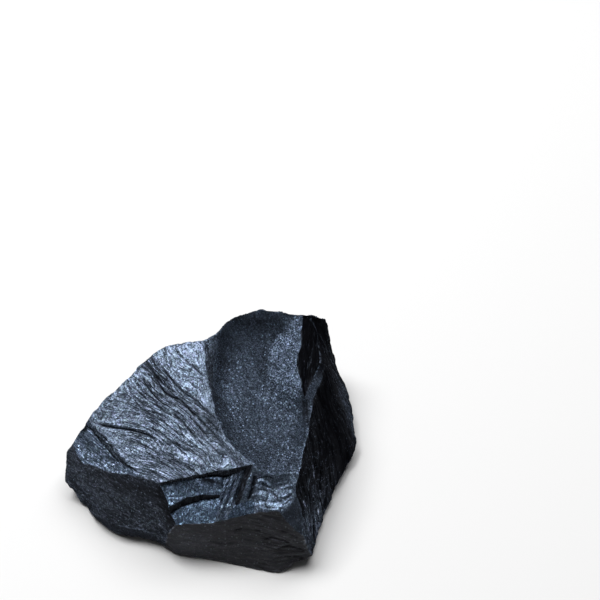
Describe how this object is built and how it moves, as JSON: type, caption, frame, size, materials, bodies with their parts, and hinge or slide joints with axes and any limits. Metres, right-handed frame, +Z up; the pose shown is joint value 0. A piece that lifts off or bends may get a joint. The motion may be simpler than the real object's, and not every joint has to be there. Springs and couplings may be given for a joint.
{
  "type": "rough black stone chunk",
  "caption": "Freshly broken chunk of dark blue-black stone with a broad ribbed face, a smooth curved scoop, stepped front ledges and a flat underside to rest on.",
  "frame": {"origin": "centre of the bounding box in plan, on the flat underside that the stone rests on", "axes": "+Z up from the flat underside, +X along the stone's longest extent towards its steep right face, -Y towards the stepped front face"},
  "size_m": [0.0718, 0.0682, 0.0311],
  "materials": {
    "black_stone": "dull silky natural break, blue-black, with a fine sparkling grain on the upper faces"
  },
  "bodies": {
    "root": {"stone": "black_stone"}
  },
  "joints": []
}
